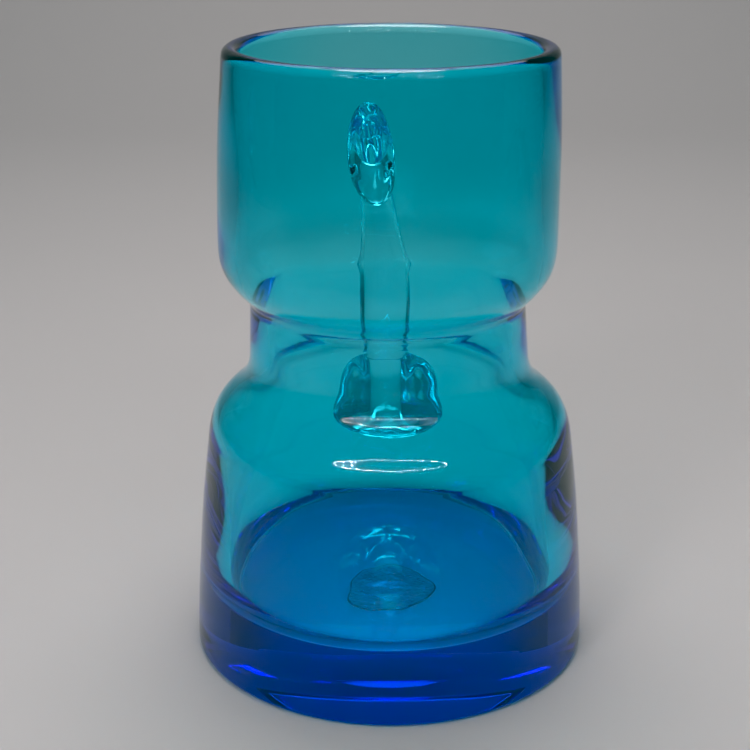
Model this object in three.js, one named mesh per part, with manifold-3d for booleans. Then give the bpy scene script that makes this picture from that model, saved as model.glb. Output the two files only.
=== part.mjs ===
// A hand-blown glass mug: cup, jacked waist and bell-shaped lower chamber in one bubble of
// tinted glass, with an applied handle of clear glass and a broken punty mark under the base.
//
// Millimetres, +Z up. The body's axis is local x = y = 0, the table is z = 0 and the handle
// is on the +Y side. The last lines set the origin under the middle of the whole mug.

import * as THREE from 'three';
import { mergeVertices } from 'three/addons/utils/BufferGeometryUtils.js';
import Module from 'manifold-3d';

const wasm = await Module();
wasm.setup();

// Heights of the three stretches of the body, stacked from the table.
const bellHeight = 72.1;
const waistHeight = 11.9;
const cupHeight = 56;

// Outside of the bell.
const footRadius = 46.25;
const footFillet = 1.2;
const shoulderRadius = 41.95;
const shoulderDrop = 20.1;
const sideBulge = 1.4;
const shoulderRise = 12.65;
const neckSweep = 11.2;

// Outside of the waist and the cup.
const waistRadius = 31.75;
const jackRadius = 31.2;
const cupRadius = 37.85;
const cupCurveHeight = 15.6;
const cupCurveAngle = THREE.MathUtils.degToRad(45);
const cupCurveOut = 9.2;
const cupCurveUp = 7.2;
const cupBulge = 0.7;
const rimRadius = 36.45;

// Walls, measured across the glass.
const lipThickness = 4.1;
const cupWall = 3.5;
const waistWall = 3.5;
const chamberWall = 3.4;
const heelWall = 6.9;
const baseThickness = 14.3;

// Inside of the lower chamber.
const innerShoulderDrop = 0.5;
const innerShoulderRise = 10.34;
const innerNeckSweep = 14.15;
const innerNeckLift = 0.75;
const heelRun = 4.6;
const heelRise = 8.5;

// Shallow hollow under the base, and the punty mark in it.
const hollowRadius = 21;
const hollowDepth = 1.6;
const scarRadius = 10.4;
const scarLift = 0.3;
const scarWaviness = [[2, 0.07, 0.4], [3, 0.05, 2.1], [5, 0.035, 1.2], [9, 0.02, 0.3]];

// Handle.
const upperPadAboveJack = 25;
const upperPadSize = [6.7, 4.6, 12.4];
const lowerPadHeight = 41.5;
const lowerPadSize = [15.2, 8.4, 13.4];
const pearTopSize = [11, 7.4, 9.6];
const pearTopAbovePad = 9.5;
const gripReach = 64;
const strapThickness = 8;
const strapTopWidth = 9.6;
const strapBottomWidth = 15;
const handleLean = 3.8;

// Touching pieces keep this much air between them.
const seatGap = 0.3;

// Fineness of the faceted surfaces.
const turns = 48;
const arcSteps = 5;
const strapSides = 16;
const strapSteps = 30;
const padSides = 20;

// Places that follow from the sizes above.
const jackHeight = bellHeight + waistHeight;
const rimHeight = jackHeight + cupHeight;
const shoulderHeight = bellHeight - shoulderDrop;
const cupCurveTop = jackHeight + cupCurveHeight;
const lipRadius = lipThickness / 2;
const lipHeight = rimHeight - lipRadius;
const upperPadHeight = jackHeight + upperPadAboveJack;

// Carries an outline round a quarter of an ellipse, leaving it upright or flat.
function quarterTurn(path, x, y, upright) {
  const from = path.currentPoint.clone();
  const pull = 0.5523;
  const across = pull * (x - from.x);
  const up = pull * (y - from.y);
  if (upright) path.bezierCurveTo(from.x, from.y + up, x - across, y, x, y);
  else path.bezierCurveTo(from.x + across, from.y, x, y - up, x, y);
}

// The outer outline, from the middle of the base up to the top of the lip.
function drawOutside(path) {
  const sideMiddle = (footRadius + shoulderRadius) / 2 + sideBulge;
  const sideEnd = new THREE.Vector2(shoulderRadius, shoulderHeight);
  const lean = new THREE.Vector2(shoulderRadius - sideMiddle, shoulderHeight / 2).normalize();
  const shoulderTip = sideEnd.clone().addScaledVector(lean, shoulderRise);
  path.moveTo(0, hollowDepth);
  path.quadraticCurveTo(hollowRadius / 2, hollowDepth, hollowRadius, 0);
  path.lineTo(footRadius - footFillet, 0);
  quarterTurn(path, footRadius, footFillet, false);
  path.quadraticCurveTo(sideMiddle, shoulderHeight / 2, sideEnd.x, sideEnd.y);
  path.bezierCurveTo(
    shoulderTip.x, shoulderTip.y,
    waistRadius, bellHeight - neckSweep,
    waistRadius, bellHeight,
  );
  path.lineTo(jackRadius, jackHeight);
  path.bezierCurveTo(
    jackRadius + cupCurveOut * Math.cos(cupCurveAngle),
    jackHeight + cupCurveOut * Math.sin(cupCurveAngle),
    cupRadius, cupCurveTop - cupCurveUp,
    cupRadius, cupCurveTop,
  );
  const cupMiddle = (cupRadius + rimRadius) / 2 + cupBulge;
  path.quadraticCurveTo(cupMiddle, (cupCurveTop + lipHeight) / 2, rimRadius, lipHeight);
  quarterTurn(path, rimRadius - lipRadius, rimHeight, true);
}

// The inner outline, from the top of the lip down to the middle of the chamber's floor.
function drawInside(path) {
  const mouthRadius = rimRadius - lipThickness;
  const innerCup = cupRadius - cupWall;
  const innerNeck = jackRadius - waistWall;
  const innerShoulder = shoulderRadius - chamberWall;
  const innerHeel = footRadius - heelWall;
  const innerShoulderHeight = shoulderHeight - innerShoulderDrop;
  const heelHeight = baseThickness + heelRise;
  quarterTurn(path, mouthRadius, lipHeight, false);
  path.quadraticCurveTo(
    (mouthRadius + innerCup) / 2 + cupBulge, (cupCurveTop + lipHeight) / 2,
    innerCup, cupCurveTop,
  );
  path.bezierCurveTo(
    innerCup, cupCurveTop - cupCurveUp,
    innerNeck + cupCurveOut * Math.cos(cupCurveAngle),
    jackHeight + cupCurveOut * Math.sin(cupCurveAngle),
    innerNeck, jackHeight,
  );
  path.lineTo(innerNeck, bellHeight + innerNeckLift);
  path.bezierCurveTo(
    innerNeck, bellHeight + innerNeckLift - innerNeckSweep,
    innerShoulder, innerShoulderHeight + innerShoulderRise,
    innerShoulder, innerShoulderHeight,
  );
  path.lineTo(innerHeel, heelHeight);
  quarterTurn(path, innerHeel - heelRun, baseThickness, true);
  path.lineTo(0, baseThickness);
}

// Turns an outline of (radius, height) points about the body's axis.
function turned(points) {
  return new THREE.LatheGeometry(points, turns).rotateX(Math.PI / 2);
}

// A closed mesh as a solid that can be joined and cut.
function solidOf(geometry) {
  geometry.deleteAttribute('normal');
  geometry.deleteAttribute('uv');
  const merged = mergeVertices(geometry, 1e-4);
  const index = merged.index.array;
  const corners = [];
  for (let i = 0; i < index.length; i += 3) {
    const [a, b, c] = index.slice(i, i + 3);
    if (a !== b && b !== c && c !== a) corners.push(a, b, c);
  }
  return new wasm.Manifold(new wasm.Mesh({
    numProp: 3,
    vertProperties: new Float32Array(merged.attributes.position.array),
    triVerts: new Uint32Array(corners),
  }));
}

// A solid as a mesh.
function geometryOf(solid) {
  const { vertProperties, triVerts } = solid.getMesh();
  const geometry = new THREE.BufferGeometry();
  geometry.setAttribute('position', new THREE.BufferAttribute(vertProperties, 3));
  geometry.setIndex(new THREE.BufferAttribute(triVerts, 1));
  geometry.computeVertexNormals();
  return geometry;
}

// The outline moved outwards by a distance, square to itself, its ends kept on the axis.
function grown(points, distance) {
  return points.map((point, i) => {
    const before = points[Math.max(i - 1, 0)];
    const after = points[Math.min(i + 1, points.length - 1)];
    const along = after.clone().sub(before).normalize();
    const moved = new THREE.Vector2(point.x + along.y * distance, point.y - along.x * distance);
    if (point.x < 1e-6) moved.x = 0;
    return moved;
  });
}

function outsidePoints() {
  const path = new THREE.Path();
  drawOutside(path);
  return path.getPoints(arcSteps);
}

// Radius of the outside at a height above the foot's fillet.
function wallRadius(height) {
  const points = outsidePoints().filter((point) => point.y >= footFillet && point.x > hollowRadius);
  const above = points.findIndex((point) => point.y >= height);
  const [low, high] = [points[above - 1], points[above]];
  return THREE.MathUtils.mapLinear(height, low.y, high.y, low.x, high.x);
}

// Everything a neighbour has to stay out of: the body filled in, with the seat gap round it.
function bodyEnvelope() {
  const points = grown(outsidePoints(), seatGap);
  points.push(new THREE.Vector2(0, rimHeight + seatGap));
  return solidOf(turned(points));
}

function makeBody() {
  const path = new THREE.Path();
  drawOutside(path);
  drawInside(path);
  return turned(path.getPoints(arcSteps));
}

// The handle stands a little crooked: its upper end is off to the left of its lower end.
function handleMiddle(height) {
  return -handleLean * (height - lowerPadHeight) / (upperPadHeight - lowerPadHeight);
}

function ellipsoid(size, y, z) {
  const ball = new THREE.SphereGeometry(1, padSides, padSides / 2).rotateX(Math.PI / 2);
  return ball.scale(...size).translate(handleMiddle(z), y, z);
}

// The strap: an oval carried along its centre line, narrower at the cup than at the bell.
function makeStrap() {
  const upperWall = wallRadius(upperPadHeight);
  const lowerWall = wallRadius(lowerPadHeight);
  const line = new THREE.CatmullRomCurve3([
    [upperWall - 3, upperPadHeight + 2],
    [upperWall + 8, upperPadHeight + 3.5],
    [gripReach - 4.5, upperPadHeight - 5],
    [gripReach, upperPadHeight - 20],
    [gripReach - 1, lowerPadHeight + 35],
    [gripReach - 6.5, lowerPadHeight + 20],
    [lowerWall + 8, lowerPadHeight + 7],
    [lowerWall - 3, lowerPadHeight - 1],
  ].map(([y, z]) => new THREE.Vector3(0, y, z)), false, 'centripetal');
  const oval = new THREE.Shape();
  oval.absellipse(0, 0, 0.5, strapThickness / 2, 0, 2 * Math.PI);
  const strap = new THREE.ExtrudeGeometry(oval, {
    steps: strapSteps,
    curveSegments: strapSides / 2,
    extrudePath: line,
  });
  const position = strap.attributes.position;
  for (let i = 0; i < position.count; i += 1) {
    const height = position.getZ(i);
    const width = THREE.MathUtils.mapLinear(
      height, upperPadHeight, lowerPadHeight, strapTopWidth, strapBottomWidth,
    );
    position.setX(i, position.getX(i) * width + handleMiddle(height));
  }
  return strap;
}

function makeHandle(envelope) {
  const upperWall = wallRadius(upperPadHeight);
  const lowerWall = wallRadius(lowerPadHeight);
  const upperPad = ellipsoid(upperPadSize, upperWall, upperPadHeight);
  const lowerPad = ellipsoid(lowerPadSize, lowerWall + 1, lowerPadHeight);
  const pearTop = ellipsoid(pearTopSize, lowerWall + 1, lowerPadHeight + pearTopAbovePad);
  const handle = solidOf(makeStrap())
    .add(solidOf(upperPad))
    .add(solidOf(lowerPad))
    .add(solidOf(pearTop))
    .subtract(envelope);
  return geometryOf(handle);
}

// The punty mark: a ragged-edged chip of glass that fills the hollow's middle.
function makeScar(envelope) {
  const rim = [];
  for (let i = 0; i < turns; i += 1) {
    const angle = 2 * Math.PI * i / turns;
    let radius = scarRadius;
    for (const [waves, depth, phase] of scarWaviness) {
      radius += scarRadius * depth * Math.sin(waves * angle + phase);
    }
    rim.push(new THREE.Vector2(radius * Math.cos(angle), radius * Math.sin(angle)));
  }
  const chip = new THREE.ExtrudeGeometry(new THREE.Shape(rim), {
    depth: hollowDepth,
    bevelEnabled: false,
  }).translate(0, 0, scarLift);
  return geometryOf(solidOf(chip).subtract(envelope));
}

const tintedGlass = { color: 0x0a86a8, roughness: 0.02, opacity: 0.45 };
const clearGlass = { color: 0xd8ecec, roughness: 0.02, opacity: 0.4 };
const brokenGlass = { color: 0xc4dcdc, roughness: 0.4, opacity: 0.6 };

function piece(name, geometry, look) {
  const glass = new THREE.MeshStandardMaterial({ ...look, metalness: 0, transparent: true });
  const mesh = new THREE.Mesh(geometry, glass);
  mesh.name = name;
  return mesh;
}

const envelope = bodyEnvelope();
const mug = new THREE.Group();
mug.add(piece('body', makeBody(), tintedGlass));
mug.add(piece('handle', makeHandle(envelope), clearGlass));
mug.add(piece('pontil_scar', makeScar(envelope), brokenGlass));

// The origin is in the table's plane, under the middle of the box round body and handle.
const box = new THREE.Box3().setFromObject(mug);
mug.position.y = -(box.min.y + box.max.y) / 2;

const group = new THREE.Group();
group.add(mug);

export default group;
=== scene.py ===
"""A hand-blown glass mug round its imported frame: tinted body, clear handle, broken punty mark."""

import math

import bpy
import numpy as np
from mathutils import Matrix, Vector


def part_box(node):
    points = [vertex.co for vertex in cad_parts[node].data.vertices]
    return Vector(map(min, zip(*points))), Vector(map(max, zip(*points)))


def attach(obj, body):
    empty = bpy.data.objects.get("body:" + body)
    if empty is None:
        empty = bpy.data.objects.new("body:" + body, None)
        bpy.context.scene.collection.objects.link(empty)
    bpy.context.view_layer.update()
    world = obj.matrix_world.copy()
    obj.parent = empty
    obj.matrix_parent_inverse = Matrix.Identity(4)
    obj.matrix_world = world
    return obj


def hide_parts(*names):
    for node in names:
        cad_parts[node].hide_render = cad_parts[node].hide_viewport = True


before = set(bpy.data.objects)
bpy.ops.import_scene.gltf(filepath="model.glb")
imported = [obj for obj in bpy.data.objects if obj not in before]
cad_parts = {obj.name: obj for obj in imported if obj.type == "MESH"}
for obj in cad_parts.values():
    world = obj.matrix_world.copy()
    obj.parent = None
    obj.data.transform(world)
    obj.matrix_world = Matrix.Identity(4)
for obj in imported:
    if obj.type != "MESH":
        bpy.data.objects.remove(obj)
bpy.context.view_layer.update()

bl_info = {
    "name": "Blown Glass Mug",
    "version": (1, 0, 0),
    "blender": (4, 5, 0),
    "location": "View3D > Sidebar > Mug",
    "description": "Builds a hand-blown hourglass mug with an applied handle",
    "category": "Add Mesh",
}

MM = 0.001
BODY_LOW, BODY_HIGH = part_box("body")
AXIS_Y = (BODY_LOW.y + BODY_HIGH.y) / 2
SHOULDER_DROP = 20.1 * MM  # narrow end of the shoulder down to its wide end
CUP_RISE = 15.6 * MM  # jack line up to the widest ring of the cup
CUP_TURN = 7.2 * MM  # pull of the cup's curve below its widest ring
JACK_SLOPE = math.radians(45)  # way in which the cup leaves the jack line
JACK_PULL = 9.2 * MM  # pull of the cup's curve at the jack line
CUP_BULGE = 0.7 * MM  # how far the cup's side stands out of a straight line
LEAN = 0.3 * MM  # how far the body's axis strays
SEAT_SHIFT = 0.4 * MM  # how far the whole handle stands to the left
MARK_GAP = 0.08 * MM  # air kept over the punty mark
REFRACTION = 1.51

CLOTH_RADIUS, CLOTH_PLACE = 0.5, (0, 0.6, 0.75)
TOP_RADIUS, TOP_PLACE = 0.13, (0, AXIS_Y + 0.07, 0.55)
SIDE_PLACE, SIDE_FRONT, SIDE_BACK, SIDE_TOP = 0.95, -0.2, 0.95, 1.1
LAMP_WIDTH, LAMP_HEIGHT, LAMP_THICK, LAMP_TILT = 0.28, 0.085, 0.0016, 57
LAMP_PLACE = (0, AXIS_Y - 0.36, 0.36)
DOT_RADIUS, DOT_COLUMNS, DOT_ROWS, DOT_GAIN = 0.0022, 4, 3, 12
CARD_RADIUS, CARD_DROP, SHEET_DROP = 44 * MM, 0.12 * MM, 0.25 * MM


def length(name, description, default):
    """A size in metres, given here in millimetres."""
    return bpy.props.FloatProperty(
        name=name, description=description, default=default * MM, unit="LENGTH", precision=5
    )


def tint(name, description, default):
    """A linear colour."""
    return bpy.props.FloatVectorProperty(
        name=name, description=description, default=default, size=3, subtype="COLOR"
    )


def number(name, description, default):
    """A plain number."""
    return bpy.props.FloatProperty(name=name, description=description, default=default)


class BodySizes(bpy.types.PropertyGroup):
    """Outline of the blown body, as radii and heights, and its glass."""

    rim_height: length("Height", "Table to the top of the lip", BODY_HIGH.z / MM)
    foot_radius: length("Foot radius", "Outside radius at the table", BODY_HIGH.x / MM)
    bell_height: length("Bell height", "Table to the narrow end of the shoulder", 72.1)
    waist_height: length("Waist height", "Shoulder to the jack line", 11.9)
    shoulder_radius: length("Shoulder radius", "Outside radius where the shoulder starts", 41.95)
    waist_radius: length("Waist radius", "Outside radius over the shoulder", 31.75)
    jack_radius: length("Jack radius", "Outside radius at the jack line", 31.2)
    cup_radius: length("Cup radius", "Widest outside radius of the cup", 37.85)
    rim_radius: length("Rim radius", "Outside radius of the lip", 36.45)
    lip: length("Lip", "Thickness of the fire-rounded lip", 4.1)
    cup_wall: length("Cup wall", "Wall at the widest part of the cup", 3.5)
    waist_wall: length("Waist wall", "Wall at the jack line", 3.5)
    chamber_wall: length("Chamber wall", "Wall under the shoulder", 3.4)
    heel_wall: length("Heel wall", "Wall just over the floor", 6.9)
    base: length("Base", "Thickness of the floor", 14.3)
    hollow_radius: length("Hollow radius", "Radius of the hollow under the base", 21)
    hollow_depth: length("Hollow depth", "Depth of the hollow under the base", 0.35)
    glass: tint("Glass", "What one density length of the glass lets through", (0.0, 0.921, 0.991))
    density: number("Density", "Absorption of the glass per metre", 400)


class HandleSizes(bpy.types.PropertyGroup):
    """The applied handle."""

    upper_height: length("Upper joint", "Height of the joint on the cup", 109.1)
    lower_height: length("Lower joint", "Height of the joint on the bell", 41.5)
    reach: length("Reach", "Body's axis to the middle of the strap", 64)
    glass: tint("Glass", "What one density length of the glass lets through", (0.75, 0.9, 0.9))
    density: number("Density", "Absorption of the glass per metre", 4)
    seat_gap: length("Seat gap", "Air kept between handle and body", 0.12)
    lean: length("Lean", "How far the upper joint stands to the left", 3.8)


class ScarSizes(bpy.types.PropertyGroup):
    """The broken punty mark."""

    radius: length("Radius", "Mean radius of the mark", 10.2)
    lift: length("Lift", "Table to the lowest splinter", 0.04)
    density: number("Density", "Absorption of the glass per metre", 10)


class StageSizes(bpy.types.PropertyGroup):
    """Camera, floor and lamps."""

    camera_back: length("Camera distance", "Camera in front of the body's axis", 335.1)
    camera_height: length("Camera height", "Camera above the table", 186.7)
    camera_tilt: number("Camera tilt", "Degrees below level", 20.03)
    camera_turn: number("Camera turn", "Degrees to the left", 0.542)
    camera_lens: number("Lens", "Focal length in millimetres", 74.24)
    floor_colour: tint("Floor", "Colour of the sheet", (0.468, 0.44, 0.438))
    world_light: number("World light", "Brightness of the surroundings", 0.12)
    top_light: number("Top light", "Brightness of the lamp straight above", 9.2)
    wall_light: number("Wall light", "Brightness of the cloth at the sides", 0.13)
    cloth_light: number("Cloth light", "Brightness of the cloth overhead", 1.38)
    lamp_light: number("Lamp light", "Brightness of the lamp over the camera", 75.0)
    red_floor: number("Red floor", "Red light the eye does not answer to", 0.022)


# ------------------------------------------------------------------ outlines and surfaces


def bezier(points, steps):
    """A Bezier curve: neighbours p, q are mixed to (1 - t) p + t q until one point is left."""
    t = np.linspace(0, 1, steps + 1)[:, None]
    mixed = [np.asarray(p, float)[None, :] for p in points]
    while len(mixed) > 1:
        mixed = [(1 - t) * p + t * q for p, q in zip(mixed, mixed[1:])]
    return mixed[0]


class Outline:
    """A half-section drawn as joined curves in (radius, height)."""

    ARC = 0.5523

    def __init__(self, radius, height):
        self.runs = [np.array([[radius, height]], float)]

    @property
    def end(self):
        return self.runs[-1][-1]

    def curve(self, *points, steps):
        self.runs.append(bezier([self.end, *points], steps)[1:])

    def line(self, radius, height, steps=1):
        self.curve((radius, height), steps=steps)

    def quarter(self, radius, height, upright, steps):
        """A quarter of an ellipse, left upright or flat."""
        r, z = self.end
        across, up = self.ARC * (radius - r), self.ARC * (height - z)
        if upright:
            self.curve((r, z + up), (radius - across, height), (radius, height), steps=steps)
        else:
            self.curve((r + across, z), (radius, height - up), (radius, height), steps=steps)

    def points(self):
        return np.vstack(self.runs)


def skin(name, rings, start, end):
    """A closed mesh: rings of points joined by quads, each end drawn together to a point."""
    count, around = rings.shape[:2]
    points = np.vstack([[start], rings.reshape(-1, 3), [end]])
    here = np.arange(around)
    after = (here + 1) % around
    first = 1 + around * np.arange(count - 1)[:, None]
    quads = np.stack(
        [first + here, first + after, first + around + after, first + around + here], -1
    ).reshape(-1, 4)
    last = 1 + around * (count - 1)
    middle = np.zeros(around, int)
    fans = np.vstack([
        np.stack([middle, 1 + after, 1 + here], -1),
        np.stack([middle + len(points) - 1, last + here, last + after], -1),
    ])
    a, b, c = points[quads[:, 0]], points[quads[:, 1]], points[quads[:, 2]]
    d = points[quads[:, 3]]
    turned_out = (np.cross(b, c) * a + np.cross(c, d) * a).sum() > 0
    if not turned_out:
        quads, fans = quads[:, ::-1], fans[:, ::-1]
    mesh = bpy.data.meshes.new(name)
    mesh.from_pydata(points.tolist(), [], quads.tolist() + fans.tolist())
    mesh.polygons.foreach_set("use_smooth", np.ones(len(mesh.polygons), bool))
    mesh.update()
    piece = bpy.data.objects.new(name, mesh)
    bpy.context.scene.collection.objects.link(piece)
    return piece


def levels(size):
    """Heights of the jack line, the shoulder's wide end, the cup's widest ring and the lip."""
    jack = size.bell_height + size.waist_height
    lip_height = size.rim_height - size.lip / 2
    return jack, size.bell_height - SHOULDER_DROP, jack + CUP_RISE, lip_height


def outside_outline(size):
    """Base, foot, bell, shoulder, waist, cup and the outer half of the lip."""
    jack, shoulder, cup_top, lip_height = levels(size)
    side_middle = (size.foot_radius + size.shoulder_radius) / 2 + 1.4 * MM
    fillet = 1.2 * MM
    lean = np.array([size.shoulder_radius - side_middle, shoulder / 2])
    tip = np.array([size.shoulder_radius, shoulder]) + lean / np.hypot(*lean) * 12.65 * MM
    jack_round = 1.3 * MM
    out = np.array([math.cos(JACK_SLOPE), math.sin(JACK_SLOPE)])
    corner = np.array([size.jack_radius, jack])
    line = Outline(0, size.hollow_depth)
    line.curve((size.hollow_radius / 2, size.hollow_depth), (size.hollow_radius, 0), steps=20)
    line.line(size.hollow_radius + 0.3 * MM, 0)
    line.line(size.foot_radius - fillet - 0.3 * MM, 0, steps=8)
    line.line(size.foot_radius - fillet, 0)
    line.quarter(size.foot_radius, fillet, False, steps=6)
    line.curve((side_middle, shoulder / 2), (size.shoulder_radius, shoulder), steps=24)
    line.curve(
        tip,
        (size.waist_radius, size.bell_height - 11.2 * MM),
        (size.waist_radius, size.bell_height),
        steps=26,
    )
    line.line(size.jack_radius, jack - jack_round, steps=6)
    line.curve(corner, corner + out * jack_round, steps=5)
    line.curve(
        corner + out * JACK_PULL,
        (size.cup_radius, cup_top - CUP_TURN),
        (size.cup_radius, cup_top),
        steps=22,
    )
    cup_middle = (size.cup_radius + size.rim_radius) / 2 + CUP_BULGE
    line.curve((cup_middle, (cup_top + lip_height) / 2), (size.rim_radius, lip_height), steps=20)
    line.quarter(size.rim_radius - size.lip / 2, size.rim_height, True, steps=8)
    return line


def inside_outline(size, line):
    """Inner half of the lip, cup, neck, chamber, heel and floor."""
    jack, shoulder, cup_top, lip_height = levels(size)
    mouth = size.rim_radius - size.lip
    cup = size.cup_radius - size.cup_wall
    neck = size.jack_radius - size.waist_wall
    chamber = size.shoulder_radius - size.chamber_wall
    heel = size.foot_radius - size.heel_wall
    heel_run, heel_rise = 4.6 * MM, 8.5 * MM
    out = np.array([math.cos(JACK_SLOPE), math.sin(JACK_SLOPE)])
    corner = np.array([neck, jack])
    neck_round = 3.0 * MM
    line.quarter(mouth, lip_height, False, steps=8)
    cup_middle = (mouth + cup) / 2 + CUP_BULGE
    line.curve((cup_middle, (cup_top + lip_height) / 2), (cup, cup_top), steps=20)
    line.curve(
        (cup, cup_top - CUP_TURN), corner + out * JACK_PULL, corner + out * neck_round, steps=22
    )
    line.curve(corner, (neck, jack - neck_round), steps=8)
    line.line(neck, size.bell_height + 0.75 * MM, steps=6)
    line.curve(
        (neck, size.bell_height - 13.4 * MM),
        (chamber, shoulder + 9.84 * MM),
        (chamber, shoulder - 0.5 * MM),
        steps=26,
    )
    line.line(heel, size.base + heel_rise, steps=8)
    line.quarter(heel - heel_run, size.base, True, steps=16)
    line.line(0, size.base, steps=8)
    return line


def body_points(size):
    """The outline turned about the axis, with the slow waves of a shape blown by hand.

    A wave is amplitude * sin(count * angle + height / length), and the inside has its own turn
    of each wave. The axis strays as cos(height), so that rim and foot lie apart.
    """
    profile = inside_outline(size, outside_outline(size)).points()
    around = 224
    angle = np.linspace(0, 2 * np.pi, around, endpoint=False)[None, :]
    radius, height = profile[1:-1, 0][:, None], profile[1:-1, 1][:, None]
    level = height / MM
    inside = (np.arange(len(radius)) > np.argmax(height))[:, None]
    turn = np.where(inside, 1.7, 0.0)
    wave = 0.05 * np.sin(3 * angle + level / 17 + turn)
    wave = wave + 0.04 * np.sin(5 * angle - level / 11 + 1 - 2 * turn)
    wave = wave + 0.03 * np.sin(8 * angle + level / 7 + 3 * turn)
    wave = wave + 0.035 * np.sin(level / 4.5 + 2 * turn + np.sin(2 * angle + turn))
    wave = wave * np.where(inside, 1.6, 1.0)
    wave = wave * MM * np.clip(level / 20, 0, 1) * np.clip(radius / (20 * MM), 0, 1)
    lean = LEAN * np.cos(np.maximum(level - 40, 0) / 18.3)
    x = (radius + wave) * np.cos(angle) + lean
    y = (radius + wave) * np.sin(angle) + AXIS_Y
    z = np.broadcast_to(height, x.shape)
    start = (LEAN, AXIS_Y, profile[0, 1])
    end = (LEAN, AXIS_Y, profile[-1, 1])
    return np.stack([x, y, z], -1), start, end


# ------------------------------------------------------------------ handle


def spline(knots, values, t):
    """A smooth curve through values at knots: a cubic Hermite with slopes from neighbours."""
    knots, values = np.asarray(knots, float), np.asarray(values, float)
    slopes = np.gradient(values, knots, axis=0)
    i = np.clip(np.searchsorted(knots, t, side="right") - 1, 0, len(knots) - 2)
    span = knots[i + 1] - knots[i]
    s = (t - knots[i]) / span
    if values.ndim > 1:
        s, span = s[:, None], span[:, None]
    return (
        (2 * s**3 - 3 * s**2 + 1) * values[i]
        + (s**3 - 2 * s**2 + s) * span * slopes[i]
        + (3 * s**2 - 2 * s**3) * values[i + 1]
        + (s**3 - s**2) * span * slopes[i + 1]
    )


def wall_depth(size, x, z):
    """Distance of the body's outside behind the axis, at x across and z up."""
    profile = outside_outline(size).points()
    side = profile[(profile[:, 1] > 2 * MM) & (profile[:, 0] > size.hollow_radius)]
    order = np.argsort(side[:, 1])
    radius = np.interp(z, side[order, 1], side[order, 0])
    return np.sqrt(np.maximum(radius**2 - x**2, 0))


def handle_points(size, body):
    """Rings of ovals along the handle's line, its ends bent to the body's wall.

    A ring is centre + a cos(v) across + b sin(v) square to the line. Near each end the ring
    is slid along y by the wall's depth at its own place less the wall's depth at its centre.
    """
    low, high = size.lower_height, size.upper_height
    low_wall = float(wall_depth(body, 0, low))
    high_wall = float(wall_depth(body, 0, high))
    low_seat, high_seat = low_wall / MM, high_wall / MM
    low_level, high_level, reach = low / MM, high / MM, size.reach / MM
    # distance along, centre y, centre z, half width, half thickness, hold on the wall, egg
    rows = np.array([
        [0.0, low_seat, low_level + 1.6, 14.2, 11.3, 1.0, -0.03],
        [1.2, low_seat + 1.3, low_level + 1.6, 15.8, 12.7, 1.0, -0.03],
        [3.2, low_seat + 3.6, low_level + 1.8, 15.4, 12.3, 0.8, -0.03],
        [6.5, low_seat + 6.8, low_level + 2.8, 12.9, 11.1, 0.4, 0.05],
        [11, low_seat + 10.6, low_level + 5.1, 9.5, 8.8, 0.1, 0.1],
        [17, reach - 7.6, low_level + 11.1, 7.6, 6.0, 0, 0.06],
        [26, reach - 3.4, low_level + 19.7, 7.0, 4.7, 0, 0],
        [38, reach - 0.4, low_level + 33.5, 6.1, 4.1, 0, 0],
        [50, reach - 0.6, low_level + 46.5, 5.1, 3.9, 0, 0],
        [60, reach - 4.2, low_level + 57.0, 4.7, 4.0, 0, 0],
        [69, reach - 11.5, low_level + 65.0, 4.8, 4.5, 0, 0],
        [78, high_seat + 6.8, high_level + 1.8, 5.2, 6.2, 0.2, 0],
        [82, high_seat + 3.2, high_level + 1.0, 5.8, 9.8, 0.7, -0.1],
        [84.5, high_seat + 1.0, high_level, 6.3, 12.4, 1.0, -0.12],
        [85.5, high_seat, high_level, 5.9, 11.8, 1.0, -0.12],
    ])
    whole, pad, pressed = rows[-1, 0], 12, 74
    t = np.unique(np.concatenate([
        np.linspace(0, pad, 40), np.linspace(pad, pressed, 90), np.linspace(pressed, whole, 36)
    ]))
    line = spline(rows[:, 0], rows[:, 1:], t)
    line[:, :4] *= MM
    centre_y, centre_z, half_width, half_thick, hold, egg = line.T
    hold = np.clip(hold, 0, 1)
    dy, dz = np.gradient(centre_y, t), np.gradient(centre_z, t)
    along = np.hypot(dy, dz)
    dy, dz = dy / along, dz / along
    # square to the line in the strap, upright at the wall
    from_end = np.where(t < pad, t, whole - t) / pad
    upright = np.clip(from_end, 0, 1) ** 1.5
    side_y, side_z = -dz, dy
    side_y = upright * side_y
    side_z = upright * side_z + (1 - upright) * np.where(t < whole / 2, 1.0, -1.0)
    norm = np.hypot(side_y, side_z)
    side_y, side_z = side_y / norm, side_z / norm
    around = 96
    v = np.linspace(0, 2 * np.pi, around, endpoint=False)[None, :]
    x = half_width[:, None] * np.cos(v)
    across = half_thick[:, None] * np.sin(v)
    y = centre_y[:, None] + across * side_y[:, None]
    z = centre_z[:, None] + across * side_z[:, None]
    x = x * (1 + egg[:, None] * (z - centre_z[:, None]) / half_thick[:, None])
    slide = wall_depth(body, x, z) - wall_depth(body, 0, centre_z)[:, None]
    y = y + hold[:, None] * slide
    return np.stack([x, y, z], -1)


def close_on_wall(rings, body, gap, steps=8):
    """Adds to each end rings that shrink to the joint's middle along the body's wall."""

    def lid(ring):
        middle = ring.mean(0)
        share = np.linspace(1, 0, steps + 1)[1:-1, None, None]
        flat = middle + share * (ring - middle)
        flat[..., 1] = wall_depth(body, flat[..., 0], flat[..., 2]) + gap
        middle = np.array([middle[0], wall_depth(body, middle[0], middle[2]) + gap, middle[2]])
        return flat, middle

    first, start = lid(rings[0])
    last, end = lid(rings[-1])
    return np.concatenate([first[::-1], rings, last]), start, end


# ------------------------------------------------------------------ punty mark


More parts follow.
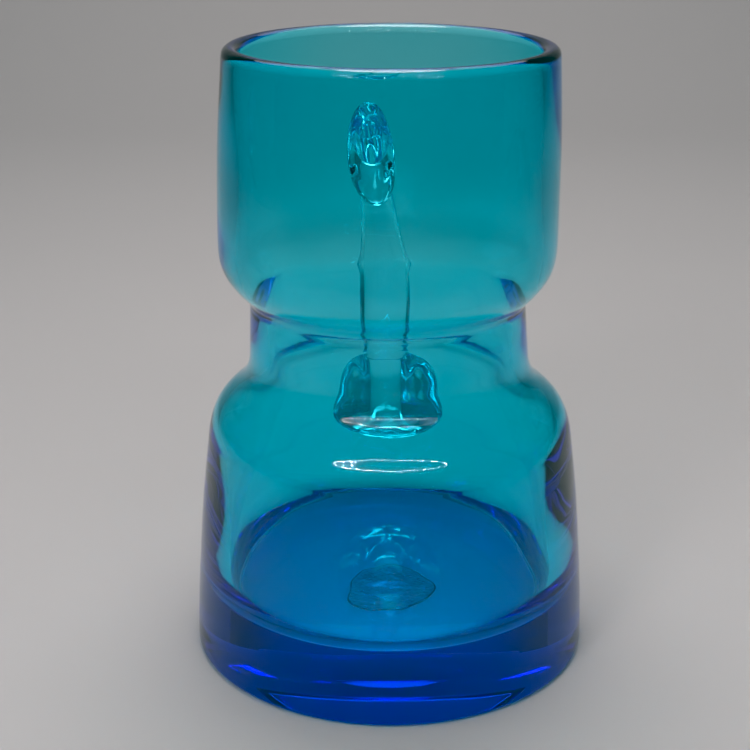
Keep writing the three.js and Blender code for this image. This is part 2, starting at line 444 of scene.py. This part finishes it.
def scar_points(size, body):
    """A lens of glass in the hollow: a ragged edge, a ring of splinters, a thin middle.

    The roof is depth * (1 - (radius / hollow radius) ** 2) less a gap, as the hollow is, and the
    underside lies under it by a ring exp(-((share - 0.82) / 0.13) ** 2) of splinters.
    """
    around, out = 120, 26
    angle = np.linspace(0, 2 * np.pi, around, endpoint=False)[None, :]
    edge = 1 + 0.07 * np.sin(2 * angle + 0.4) + 0.05 * np.sin(3 * angle + 2.1)
    edge = edge + 0.035 * np.sin(5 * angle + 1.2) + 0.02 * np.sin(9 * angle + 0.3)
    edge = edge * size.radius
    share = np.linspace(0, 1, out + 1)[1:, None]
    radius = share * edge
    roof = body.hollow_depth * (1 - (radius / body.hollow_radius) ** 2) - MARK_GAP
    ring = np.exp(-(((share - 0.82) / 0.13) ** 2))
    rough = 0.5 + 0.5 * np.sin(7 * angle + 9 * share) * np.sin(4 * angle - 13 * share + 1)
    chips = 0.5 + 0.5 * np.sin(17 * angle + 5 * share) * np.sin(23 * share - 6 * angle)
    depth = (0.08 + 0.12 * ring * rough + 0.04 * chips * share) * MM
    depth = depth * np.sqrt(np.clip((1 - share) / 0.06, 0, 1))
    bottom = np.maximum(roof - depth - 0.02 * MM, size.lift)
    low = np.stack([radius * np.cos(angle), radius * np.sin(angle) + AXIS_Y, bottom], -1)
    high = np.stack([radius * np.cos(angle), radius * np.sin(angle) + AXIS_Y, roof], -1)
    rings = np.concatenate([low, high[:-1][::-1]])
    start = (0, AXIS_Y, float(bottom[0].mean()))
    end = (0, AXIS_Y, body.hollow_depth - MARK_GAP)
    return rings, start, end


# ------------------------------------------------------------------ materials


class Value:
    """A shader socket that takes part in Python sums; each sum adds its Math node."""

    def __init__(self, tree, socket):
        self.tree, self.socket = tree, socket

    def maths(self, operation, *others):
        """One Math node of values and numbers."""
        node = self.tree.nodes.new("ShaderNodeMath")
        node.operation = operation
        for socket, item in zip(node.inputs, others):
            if isinstance(item, Value):
                self.tree.links.new(item.socket, socket)
            else:
                socket.default_value = item
        return Value(self.tree, node.outputs[0])

    def __add__(self, other):
        return self.maths("ADD", self, other)

    __radd__ = __add__

    def __rsub__(self, other):
        return self.maths("SUBTRACT", other, self)

    def __mul__(self, other):
        return self.maths("MULTIPLY", self, other)

    __rmul__ = __mul__


class Finish:
    """A material under construction."""

    def __init__(self, name):
        self.material = bpy.data.materials.new(name)
        self.material.use_nodes = True
        self.tree = self.material.node_tree
        self.tree.nodes.clear()

    def node(self, kind, settings=None, output=0, **sockets):
        """A node of a type, with its settings, and its sockets as values or links."""
        made = self.tree.nodes.new(kind)
        for key, value in (settings or {}).items():
            setattr(made, key, value)
        for key, value in sockets.items():
            socket = made.inputs[key.replace("_", " ")]
            if isinstance(value, Value):
                self.tree.links.new(value.socket, socket)
            else:
                socket.default_value = value
        return Value(self.tree, made.outputs[output])

    def place(self):
        """Object coordinates, in metres."""
        return self.node("ShaderNodeTexCoord", output="Object")

    def close(self, surface, volume=None):
        """Joins the surface, and the volume if there is one, to the material's output."""
        result = self.tree.nodes.new("ShaderNodeOutputMaterial")
        self.tree.links.new(surface.socket, result.inputs["Surface"])
        if volume:
            self.tree.links.new(volume.socket, result.inputs["Volume"])
        return self.material


def glass(name, colour, density, skin_roughness, skin_bump):
    """Clear-cut glass: a smooth boundary, and a tint that grows with the path through it."""
    finish = Finish(name)
    surface = finish.node(
        "ShaderNodeBsdfPrincipled",
        Base_Color=(1, 1, 1, 1),
        Roughness=skin_roughness(finish),
        IOR=REFRACTION,
        Transmission_Weight=1.0,
        Normal=skin_bump(finish),
    )
    volume = finish.node("ShaderNodeVolumeAbsorption", Color=(*colour, 1), Density=density)
    return finish.close(surface, volume)


def noise(finish, scale, detail=1.0, roughness=0.5):
    """Noise of a scale per metre, in the piece's own place."""
    return finish.node(
        "ShaderNodeTexNoise",
        Vector=finish.place(), Scale=scale, Detail=detail, Roughness=roughness,
    )


def blown_skin(finish):
    """Fire-polished, with the faint print of the wet block: patches a shade less smooth."""
    return 0.006 * noise(finish, 55.0) * noise(finish, 21.0)


def blown_ripple(finish):
    """Slow ripples of glass shaped by hand, a few thousandths of a millimetre high."""
    wobble = noise(finish, 70.0, roughness=0.4)
    return finish.node("ShaderNodeBump", Height=wobble, Strength=0.2, Distance=0.00005)


def drawn_skin(finish):
    """Fire-polished, a shade less smooth in patches where the glass was pressed."""
    return 0.008 * noise(finish, 90.0) * noise(finish, 31.0)


def drawn_lines(finish):
    """Fine cords of drawn glass: noise stretched along the strap's height."""
    stretched = finish.node(
        "ShaderNodeMapping", Vector=finish.place(), Scale=(1.0, 0.5, 0.12)
    )
    cords = finish.node(
        "ShaderNodeTexNoise", Vector=stretched, Scale=420.0, Detail=1.0, Roughness=0.4
    )
    return finish.node("ShaderNodeBump", Height=cords, Strength=0.15, Distance=0.00004)


def broken_skin(finish):
    """Dull splinters between faces that have melted smooth."""
    return 0.05 + 0.16 * noise(finish, 500.0, 2.0)


def broken_face(finish):
    """Small shell-shaped flakes of a break."""
    flakes = noise(finish, 900.0, 3.0)
    return finish.node("ShaderNodeBump", Height=flakes, Strength=0.6, Distance=0.0004)


def emitter(name, colour, strength):
    """A surface that gives off an even light."""
    finish = Finish(name)
    glow = finish.node("ShaderNodeEmission", Color=(*colour, 1), Strength=strength)
    return finish.close(glow)


def shaded_paper(name, colour, front=0.5):
    """Matt paper with painted shade: its colour darkens smoothly in front of the mug, towards the
    camera.
    """
    finish = Finish(name)
    along = finish.node("ShaderNodeSeparateXYZ", output="Y", Vector=finish.place())
    # painted shade: the colour is scaled from 1 down to front over 0.15 m in front of y = -0.12
    shade = finish.node(
        "ShaderNodeMapRange",
        {"interpolation_type": "SMOOTHSTEP"},
        Value=-0.12 - along, From_Min=0.0, From_Max=0.15, To_Min=1.0, To_Max=front,
    )
    tone = finish.node(
        "ShaderNodeVectorMath", {"operation": "SCALE"}, Vector=colour, Scale=shade
    )
    return finish.close(finish.node("ShaderNodeBsdfPrincipled", Base_Color=tone, Roughness=0.9))


# ------------------------------------------------------------------ operators


class MUG_OT_body(bpy.types.Operator):
    """Blow the body: cup, waist, lower chamber and thick base in one bubble"""

    bl_idname = "mug.body"
    bl_label = "Body"

    def execute(self, context):
        size = context.scene.mug_body
        piece = skin("blown_body", *body_points(size))
        piece.data.materials.append(
            glass("tinted_glass", size.glass, size.density, blown_skin, blown_ripple)
        )
        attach(piece, "root")
        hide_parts("body")
        return {"FINISHED"}


class MUG_OT_handle(bpy.types.Operator):
    """Apply the handle: pad on the bell, strap, pressed pad on the cup"""

    bl_idname = "mug.handle"
    bl_label = "Handle"

    def execute(self, context):
        size, body = context.scene.mug_handle, context.scene.mug_body
        rings = handle_points(size, body)
        rings[..., 1] += size.seat_gap
        low_end, rise = size.lower_height, size.upper_height - size.lower_height
        rings[..., 0] -= size.lean * np.clip((rings[..., 2] - low_end) / rise, 0, 1.2) ** 1.3
        rings[..., 0] -= SEAT_SHIFT
        rings, start, end = close_on_wall(rings, body, size.seat_gap)
        rings[..., 1] += AXIS_Y
        start[1] += AXIS_Y
        end[1] += AXIS_Y
        piece = skin("strap_handle", rings, start, end)
        piece.data.materials.append(
            glass("clear_glass", size.glass, size.density, drawn_skin, drawn_lines)
        )
        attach(piece, "root")
        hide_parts("handle")
        return {"FINISHED"}


class MUG_OT_scar(bpy.types.Operator):
    """Leave the broken punty mark under the base"""

    bl_idname = "mug.scar"
    bl_label = "Punty mark"

    def execute(self, context):
        size, body = context.scene.mug_scar, context.scene.mug_body
        piece = skin("broken_punty_mark", *scar_points(size, body))
        piece.data.materials.append(
            glass("broken_glass", context.scene.mug_handle.glass, size.density,
                  broken_skin, broken_face)
        )
        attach(piece, "root")
        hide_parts("pontil_scar")
        return {"FINISHED"}


def stage_mesh(name, points, faces, material):
    """A smooth mesh that belongs to the stage."""
    mesh = bpy.data.meshes.new(name)
    mesh.from_pydata(points, [], faces)
    mesh.materials.append(material)
    mesh.polygons.foreach_set("use_smooth", np.ones(len(mesh.polygons), bool))
    obj = bpy.data.objects.new(name, mesh)
    bpy.context.scene.collection.objects.link(obj)
    return obj


def sheet_points(half_width, front, back, bend, top):
    """A sheet that lies flat and curves up behind."""
    curve = [(-front, 0.0), (back, 0.0)]
    for i in range(1, 17):
        turn = math.pi / 2 * i / 16
        curve.append((back + bend * math.sin(turn), bend * (1 - math.cos(turn))))
    curve.append((back + bend, top))
    points = [(x, y, z) for y, z in curve for x in (-half_width, half_width)]
    faces = [(2 * i, 2 * i + 1, 2 * i + 3, 2 * i + 2) for i in range(len(curve) - 1)]
    return points, faces


def disc(radius, around=48):
    """A flat disc facing down."""
    turn = [2 * math.pi * i / around for i in range(around)]
    rim = [(radius * math.cos(a), radius * math.sin(a), 0) for a in turn]
    return rim, [tuple(reversed(range(around)))]


def loop_tube(half_width, half_height, thick, around=96, sides=8):
    """A thin tube bent to a flat loop: (a cos v, b sin v) with a tube of radius thick."""
    v = np.linspace(0, 2 * np.pi, around, endpoint=False)[:, None]
    u = np.linspace(0, 2 * np.pi, sides, endpoint=False)[None, :]
    out = np.stack([half_height * np.cos(v), half_width * np.sin(v)], -1)
    out = out / np.linalg.norm(out, axis=-1, keepdims=True)
    x = half_width * np.cos(v) + thick * np.cos(u) * out[..., 0]
    y = half_height * np.sin(v) + thick * np.cos(u) * out[..., 1]
    z = thick * np.sin(u) + 0 * v
    points = np.stack([x, y, z], -1).reshape(-1, 3)
    i, j = np.meshgrid(np.arange(around), np.arange(sides), indexing="ij")
    k, m = (i + 1) % around, (j + 1) % sides
    faces = np.stack([i * sides + j, k * sides + j, k * sides + m, i * sides + m], -1)
    return points.tolist(), faces.reshape(-1, 4).tolist()


class MUG_OT_stage(bpy.types.Operator):
    """Set the camera, the pale sheet and the lamps"""

    bl_idname = "mug.stage"
    bl_label = "Stage"

    def execute(self, context):
        scene, size = context.scene, context.scene.mug_stage
        camera = bpy.data.cameras.new("camera")
        camera.lens = size.camera_lens
        camera.clip_start = 0.01
        eye = bpy.data.objects.new("camera", camera)
        eye.location = (0, AXIS_Y - size.camera_back, size.camera_height)
        eye.rotation_euler = (
            math.radians(90 - size.camera_tilt), 0, math.radians(size.camera_turn)
        )
        scene.collection.objects.link(eye)
        scene.camera = eye

        points, faces = sheet_points(4.0, 4.0, 0.6, 0.35, 1.4)
        # the sheet carries painted shade in front of the mug
        floor = stage_mesh("sheet", points, faces, shaded_paper("shaded_paper", size.floor_colour))
        floor.location.z = -SHEET_DROP
        # painted light: a whiter disc of paper right under the mug stands in for the light that
        # falls through the glass onto the sheet
        light_pool_card = stage_mesh("light_pool_card", *disc(CARD_RADIUS), shaded_paper("light_pool_card", (0.92, 0.92, 0.92), 1.0))
        light_pool_card.location = (0, AXIS_Y, -CARD_DROP)

        world = bpy.data.worlds.new("surroundings")
        world.use_nodes = True
        backdrop = world.node_tree.nodes["Background"]
        backdrop.inputs["Color"].default_value = (0.86, 0.95, 1.0, 1)
        backdrop.inputs["Strength"].default_value = size.world_light
        scene.world = world

        cloth = emitter("cloth", (1, 0.985, 0.98), size.cloth_light)
        cloth_piece = stage_mesh("overhead_cloth", *disc(CLOTH_RADIUS), cloth)
        cloth_piece.location = CLOTH_PLACE
        top = emitter("top_lamp", (1, 0.985, 0.98), size.top_light)
        top_piece = stage_mesh("top_lamp", *disc(TOP_RADIUS), top)
        top_piece.location = TOP_PLACE
        wall = emitter("side_cloth", (1, 0.99, 0.985), size.wall_light)
        low_edge, high_edge = (SIDE_FRONT, SIDE_BACK), (SIDE_BACK, SIDE_FRONT)
        for side in (-SIDE_PLACE, SIDE_PLACE):
            corners = [(side, y, 0) for y in low_edge] + [(side, y, SIDE_TOP) for y in high_edge]
            stage_mesh("side_cloth", corners, [(0, 1, 2, 3)], wall)
        glow = emitter("lamp", (1, 0.99, 1.0), size.lamp_light)
        bright = emitter("lamp_dots", (1, 1, 1), size.lamp_light * DOT_GAIN)
        points, faces = loop_tube(LAMP_WIDTH, LAMP_HEIGHT, LAMP_THICK)
        lamp = stage_mesh("lamp_outline", points, faces, glow)
        lamp.location = LAMP_PLACE
        lamp.rotation_euler = (math.radians(LAMP_TILT), 0, 0)
        for row in range(DOT_ROWS):
            for column in range(DOT_COLUMNS):
                dot = stage_mesh("lamp_dot", *disc(DOT_RADIUS, 10), bright)
                dot.parent = lamp
                dot.location = (-0.22 + 0.022 * column, 0.04 - 0.05 * row, 0)

        settings = scene.view_settings
        settings.view_transform = "Standard"
        settings.use_curve_mapping = True
        settings.curve_mapping.black_level = (size.red_floor, 0, 0)
        settings.curve_mapping.update()
        cycles = scene.cycles
        cycles.max_bounces = 24
        cycles.transmission_bounces = 24
        cycles.glossy_bounces = 12
        cycles.diffuse_bounces = 4
        return {"FINISHED"}


class MUG_PT_panel(bpy.types.Panel):
    """Makes the mug's pieces and their stage"""

    bl_idname = "MUG_PT_panel"
    bl_label = "Blown glass mug"
    bl_space_type = "VIEW_3D"
    bl_region_type = "UI"
    bl_category = "Mug"

    def draw(self, context):
        for operator in OPERATORS:
            self.layout.operator(operator.bl_idname)


SETTINGS = {
    "mug_body": BodySizes,
    "mug_handle": HandleSizes,
    "mug_scar": ScarSizes,
    "mug_stage": StageSizes,
}
OPERATORS = (MUG_OT_stage, MUG_OT_body, MUG_OT_handle, MUG_OT_scar)
CLASSES = (*SETTINGS.values(), *OPERATORS, MUG_PT_panel)


def register():
    for item in CLASSES:
        bpy.utils.register_class(item)
    for name, group in SETTINGS.items():
        setattr(bpy.types.Scene, name, bpy.props.PointerProperty(type=group))


def unregister():
    for name in SETTINGS:
        delattr(bpy.types.Scene, name)
    for item in reversed(CLASSES):
        bpy.utils.unregister_class(item)


def main():
    register()
    for operator in OPERATORS:
        group, name = operator.bl_idname.split(".")
        getattr(getattr(bpy.ops, group), name)()


if __name__ == "__main__":
    main()
